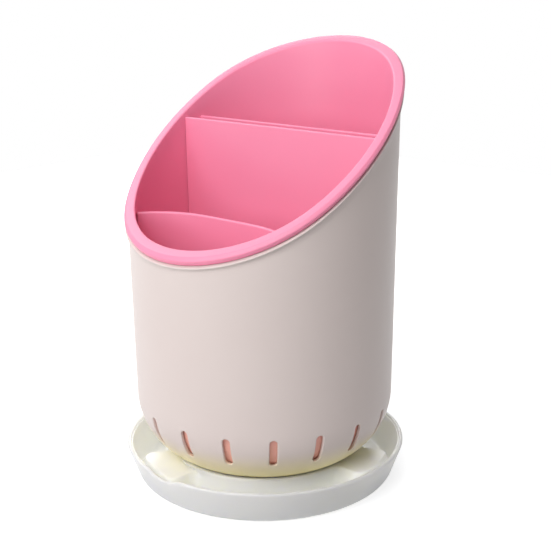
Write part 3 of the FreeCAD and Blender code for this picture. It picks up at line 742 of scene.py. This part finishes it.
def makeLiner():
    cup = turned("linerCup", linerProfile(), linerForm["columns"], 0.0, linerPlastic)
    shell = welded("linerShell", [cup])
    parts = [runTree(makeDrainRows(), shell, dict(drainSizes, Material=linerPlastic))]
    for side in (-1, 1):
        for front, back, top in flatRibs:
            parts.append(ribMesh(front, back, top, False, side))
        for front, back in curvedRibs:
            parts.append(ribMesh(front, back, linerForm["curvedRibTop"], True, side))
    mesh = welded("linerWithRibs", parts)
    finishPiece("innerLiner", mesh, linerPlastic, "liner", ["inner_liner"])


makeLiner()
print("liner made")


def makeDivider():
    form = dividerForm
    half = form["thick"] / 2
    foot = wallForm["bottom"] + linerForm["inside"] + form["gap"]
    rows, columns, steps = form["rows"], form["columns"], form["topSteps"]
    section = []  # (how far off the middle, height), up the front, over the rounded top and down the back
    rises = [foot + (form["top"] - half - foot) * (k / rows) ** form["crowding"] for k in range(rows + 1)]
    section += [(-half, z) for z in rises]
    for k in range(1, steps):
        bend = math.pi * k / steps
        section.append((-half * math.cos(bend), form["top"] - half + half * math.sin(bend)))
    section += [(half, z) for z in reversed(rises)]
    points = []
    for k in range(columns + 1):
        for aside, z in section:
            x = (2 * k / columns - 1) * sweepEnd(potRadius(z, linerForm["inside"]) - form["gap"])
            tilt = math.atan(sweepSlope(x))
            points.append((x - aside * math.sin(tilt), sweepAt(x) + aside * math.cos(tilt), z))
    count = len(section)
    faces = ringFaces(columns + 1, count)
    for first in (0, columns * count):
        for j in range(count // 2 - 1):
            faces.append((first + j, first + j + 1, first + count - 2 - j, first + count - 1 - j))
    mesh = welded("dividerSheet", [plainMesh("divider", points, faces)])
    finishPiece("curvedDivider", mesh, linerPlastic, "curved_panel", ["curved_divider"])


makeDivider()
print("divider made")

# Drip tray: a dish with a thin rounded rim. A ring and three blocks rise from its floor with soft
# moulded corners, and carry the pot on a sunk seat. The rim dips at the front to pour.
trayForm = {"floor": 2.9, "bottom": 0.5, "baseRadius": 64.0, "rimRadius": 70.38, "height": 18.3, "wall": 2.5,
            "baseRound": 5.0, "baseSteps": 8, "underRings": (50.0, 36.0, 18.0, 0.0),
            "rimRound": 1.0, "rimInSteps": 6, "rimOutSteps": 7, "rimInShift": 0.15, "rimOutShift": 0.42,
            "supportTop": 15.0, "slope": 12.0, "ringIn": 38.0, "ringOut": 48.5,
            "blockCount": 3, "blockTurn": -18.0, "blockHalf": 16.0, "blockIn": 22.0, "blockOut": 63.5,
            "blockFlare": 0.6, "seat": 11.0, "seatRadius": 45.3, "seatSteepness": 5,
            "softTop": 2.4, "softFoot": 2.5, "softCorner": 5.0, "softWall": 3.0, "softBlock": 7.0,
            "lipTurn": -3.0, "lipDepth": 2.8, "lipRadius": 22.0, "lipFoot": 9.0, "lipSoft": 1.0,
            "padCount": 4, "padTurn": 45.0, "padCircle": 47.0, "padRadius": 7.1, "padRecess": 1.2}
# The angles and radii where the tray's points lie, closest where its shape bends: each stop has the
# number of steps that lead up to it. The last radius is counted inwards from the inside of the rim.
trayAngleStops = ((-60, 0), (-26, 12), (-18, 8), (-10, 16), (10, 10), (18, 16), (26, 8), (60, 12))
trayRadiusStops = ((0, 0), (18, 3), (21, 3), (27, 10), (33, 4), (40, 12), (44.5, 4), (46.6, 8), (53, 18),
                   (58, 5), (61, 4), (65, 10))
trayRimStop = (0.4, 6)


def softLarger(one, other, soft):
    # the larger of two, with the crease where they meet filled in over a soft stretch
    near = max(soft - abs(one - other), 0.0) / soft
    return max(one, other) + near * near * soft / 4


def trayHeight(radius, angle):
    # height of the tray's inside at a radius and an angle from the middle of a block
    form = trayForm
    lean = math.tan(math.radians(form["slope"]))
    flare = form["supportTop"] * lean
    half = math.radians(form["blockHalf"])
    ring = min(form["ringOut"] + flare - radius, radius - form["ringIn"] + flare)
    away = min(abs(angle), math.pi / 2)
    side = radius * math.sin(half - away) + flare * form["blockFlare"]
    end = form["blockOut"] + flare - radius
    block = min(-softLarger(-side, -end, form["softBlock"]), radius * math.cos(away) - form["blockIn"])
    deep = softLarger(ring, block, form["softCorner"])
    rise = -softLarger(-deep / lean, -form["supportTop"], form["softTop"])
    rise = min(rise, form["seat"] + max(radius - form["seatRadius"], 0.0) * form["seatSteepness"])
    inner = form["baseRadius"] - form["wall"]
    steep = (form["height"] - form["floor"]) / (form["rimRadius"] - form["baseRadius"])
    wall = form["floor"] + (radius - inner) * steep
    return softLarger(softLarger(rise, form["floor"], form["softFoot"]), wall, form["softWall"])


def valuesBetween(stops):
    # values from stop to stop, each stop with the number of steps that lead up to it
    values = [stops[0][0]]
    for (start, _), (end, steps) in zip(stops, stops[1:]):
        values += [start + (end - start) * (k + 1) / steps for k in range(steps)]
    return values


def trayShellProfile(inner):
    # rim, outer wall and underside, as radius and height
    form = trayForm
    rimRound, baseRound, top = form["rimRound"], form["baseRound"], form["height"]
    lean = math.atan2(form["rimRadius"] - form["baseRadius"], top - form["bottom"])
    profile = []
    steps = form["rimInSteps"]
    for k in range(steps + 1):
        bend = math.pi * (1 - k / (2 * steps))
        profile.append((inner + form["rimInShift"] + rimRound * (1 + math.cos(bend)),
                        top - rimRound * (1 - math.sin(bend))))
    outer = form["rimRadius"] - form["rimOutShift"] - rimRound
    steps = form["rimOutSteps"]
    for k in range(steps + 1):
        bend = math.pi / 2 * (1 - k / steps) - lean * k / steps
        profile.append((outer + rimRound * math.cos(bend), top - rimRound * (1 - math.sin(bend))))
    cut = baseRound * math.tan((math.pi / 2 - lean) / 2)
    steps = form["baseSteps"]
    for k in range(steps + 1):
        bend = -lean - (math.pi / 2 - lean) * k / steps
        profile.append((form["baseRadius"] - cut + baseRound * math.cos(bend),
                        form["bottom"] + baseRound * (1 + math.sin(bend))))
    return profile + [(radius, form["bottom"]) for radius in form["underRings"]]


def traySector():
    # one third of the tray, about a block: the inside by its height, then over the rim and underneath
    angles = [math.radians(angle) for angle in valuesBetween(trayAngleStops)]
    inner = trayForm["rimRadius"] - trayForm["wall"]
    shell = trayShellProfile(inner)
    gap, steps = trayRimStop
    reach = valuesBetween(trayRadiusStops + ((inner - gap, steps),))
    points = []
    for angle in angles:
        column = [(r, trayHeight(r, angle)) for r in reach] + shell
        points += [(r * math.sin(angle), -r * math.cos(angle), z) for r, z in column]
    return plainMesh("traySector", points, ringFaces(len(angles), len(reach) + len(shell), closed=False))


def dipLip(mesh):
    # lowers the rim where the tray pours and pulls it in along the wall's slant, fading out down the wall
    form = trayForm
    turn = math.radians(form["lipTurn"])
    height, foot, lipRadius = form["height"], form["lipFoot"], form["lipRadius"]
    for point in mesh.vertices:
        x, y, z = (v / mm for v in point.co)
        aside = x * math.cos(turn) + y * math.sin(turn)
        ahead = x * math.sin(turn) - y * math.cos(turn)
        if ahead < 0 or abs(aside) > lipRadius or math.hypot(x, y) < form["ringOut"]:
            continue
        edge = height - form["lipDepth"] + lipRadius
        edge -= math.sqrt(lipRadius ** 2 - aside ** 2)
        dip = softLarger(height - edge, 0.0, form["lipSoft"])
        share = min(max((z - foot) / (height - foot), 0.0), 1.0)
        pull = dip * share * (form["rimRadius"] - form["baseRadius"]) / height
        shrink = 1 - pull / math.hypot(x, y)
        point.co = (x * shrink * mm, y * shrink * mm, (z - dip * share) * mm)


def makeTray():
    form = trayForm
    ring = dict(tileRingSizes, Count=form["blockCount"], Turn=math.radians(form["blockTurn"]),
                Material=trayPlastic)
    dish = runTree(tileRing, traySector(), ring)
    dipLip(dish)
    shell = welded("trayShell", [dish])
    recesses = dict(drillSizes, Count=form["padCount"], Circle=form["padCircle"] * mm,
                    Turn=math.radians(form["padTurn"]), Radius=form["padRadius"] * mm,
                    Depth=form["padRecess"] * 2 * mm, Level=form["bottom"] * mm, Middle=0,
                    Material=trayPlastic)
    mesh = runTree(drillRing, shell, recesses)
    finishPiece("dripTray", mesh, trayPlastic, "tray", ["drip_tray"])


makeTray()
print("tray made")


def wayOut(turn, lift):
    # the way out from the upright axis, by its turn from the front and its lift, in degrees
    turn, lift = math.radians(turn), math.radians(lift)
    return Vector((math.sin(turn) * math.cos(lift), -math.cos(turn) * math.cos(lift), math.sin(lift)))


# Camera: where the picture was taken from, about a point on the holder's axis.
cameraView = {"azimuth": 41.84, "elevation": 17.04, "distance": 540.6, "targetHeight": 90.0, "roll": -0.75,
              "lens": 71.56, "sensor": 36, "shiftX": 0.022, "shiftY": 0.040}


def makeCamera():
    turn = math.radians(cameraView["azimuth"])
    roll = math.radians(cameraView["roll"])
    back = wayOut(cameraView["azimuth"], cameraView["elevation"])
    level = Vector((math.cos(turn), math.sin(turn), 0))
    above = back.cross(level)
    right = level * math.cos(roll) + above * math.sin(roll)
    top = above * math.cos(roll) - level * math.sin(roll)
    data = bpy.data.cameras.new("photoCamera")
    data.lens = cameraView["lens"]
    data.sensor_width = cameraView["sensor"]
    data.shift_x = cameraView["shiftX"]
    data.shift_y = cameraView["shiftY"]
    camera = bpy.data.objects.new("photoCamera", data)
    place = Vector((0, 0, cameraView["targetHeight"] * mm)) + back * cameraView["distance"] * mm
    axes = Matrix((right, top, back)).transposed()
    camera.matrix_world = Matrix.Translation(place) @ axes.to_4x4()
    bpy.context.scene.collection.objects.link(camera)
    bpy.context.scene.camera = camera


makeCamera()


def isSeen(tree):
    # 1 for what the camera sees, straight on, mirrored or through a clear thing, 0 for stray light
    path = addNode(tree, "ShaderNodeLightPath").outputs
    either = mathNode(tree, "MAXIMUM", path["Is Camera Ray"], path["Is Glossy Ray"])
    return mathNode(tree, "MAXIMUM", either, path["Is Transmission Ray"])


# Floor: white paper, lit up until it looks as white as the room, a little less near the holder so that
# the holder's shade shows there. Only the stray share of its glow lights the holder from below.
floorLook = {"size": 1.6, "gap": 0.05, "colour": "#c8c8c8", "roughness": 0.9, "liftNear": 0.72,
             "liftFar": 1.0, "near": 0.1, "far": 0.4, "stray": 0.2}


def makeFloor():
    mesh = bpy.data.meshes.new("studioFloor")
    half = floorLook["size"] / 2
    drop = -floorLook["gap"] * mm
    corners = [(-half, -half, drop), (half, -half, drop), (half, half, drop), (-half, half, drop)]
    mesh.from_pydata(corners, [], [(0, 1, 2, 3)])
    floor = bpy.data.objects.new("studioFloor", mesh)
    bpy.context.scene.collection.objects.link(floor)
    material = bpy.data.materials.new("whiteStudioPaper")
    material.use_nodes = True
    tree = material.node_tree
    shader = tree.nodes["Principled BSDF"]
    shader.inputs["Base Color"].default_value = linearColour(floorLook["colour"])
    shader.inputs["Roughness"].default_value = floorLook["roughness"]
    shader.inputs["Specular IOR Level"].default_value = 0.0
    shader.inputs["Emission Color"].default_value = (1, 1, 1, 1)
    glow = rangeNode(tree, placeNumbers(tree)[0], (floorLook["near"], floorLook["far"]),
                     (floorLook["liftNear"], floorLook["liftFar"]))
    lift = addNode(tree, "ShaderNodeMapRange", {"Value": isSeen(tree), "To Max": glow},
                   {"To Min": floorLook["stray"]})
    tree.links.new(lift.outputs["Result"], shader.inputs["Emission Strength"])
    mesh.materials.append(material)


makeFloor()

# Room: white where it is seen, and a weak fill light where it is not.
worldLook = {"seen": 1.0, "fill": 0.12}


def makeWorld():
    world = bpy.data.worlds.new("studioRoom")
    bpy.context.scene.world = world
    world.use_nodes = True
    tree = world.node_tree
    background = tree.nodes["Background"]
    background.inputs["Color"].default_value = (1, 1, 1, 1)
    level = rangeNode(tree, isSeen(tree), (0.0, 1.0), (worldLook["fill"], worldLook["seen"]))
    tree.links.new(level, background.inputs["Strength"])


makeWorld()

# Soft boxes, all of one size and at one distance from a point on the holder's axis, each with its turn
# from the front, its lift and its power.
softBoxForm = {"distance": 900.0, "size": 600.0, "targetHeight": 100.0}
softBoxes = {
    "backSoftBox": {"turn": -135.0, "lift": 22.0, "watts": 3.4},
    "leftSoftBox": {"turn": -80.0, "lift": 42.0, "watts": 2.3},
    "frontSoftBox": {"turn": -10.0, "lift": 20.0, "watts": 2.8},
    "nearSoftBox": {"turn": 18.0, "lift": 42.0, "watts": 3.8},
    "topSoftBox": {"turn": 100.0, "lift": 80.0, "watts": 1.5},
}


def makeSoftBox(name, box):
    data = bpy.data.lights.new(name, "AREA")
    data.shape = "DISK"
    data.size = softBoxForm["size"] * mm
    data.energy = box["watts"]
    lamp = bpy.data.objects.new(name, data)
    way = wayOut(box["turn"], box["lift"])
    lamp.location = Vector((0, 0, softBoxForm["targetHeight"] * mm)) + way * softBoxForm["distance"] * mm
    lamp.rotation_euler = way.to_track_quat("Z", "Y").to_euler()
    bpy.context.scene.collection.objects.link(lamp)


for name, box in softBoxes.items():
    makeSoftBox(name, box)
bpy.context.scene.view_settings.view_transform = "Standard"
print("camera, floor and lights placed")
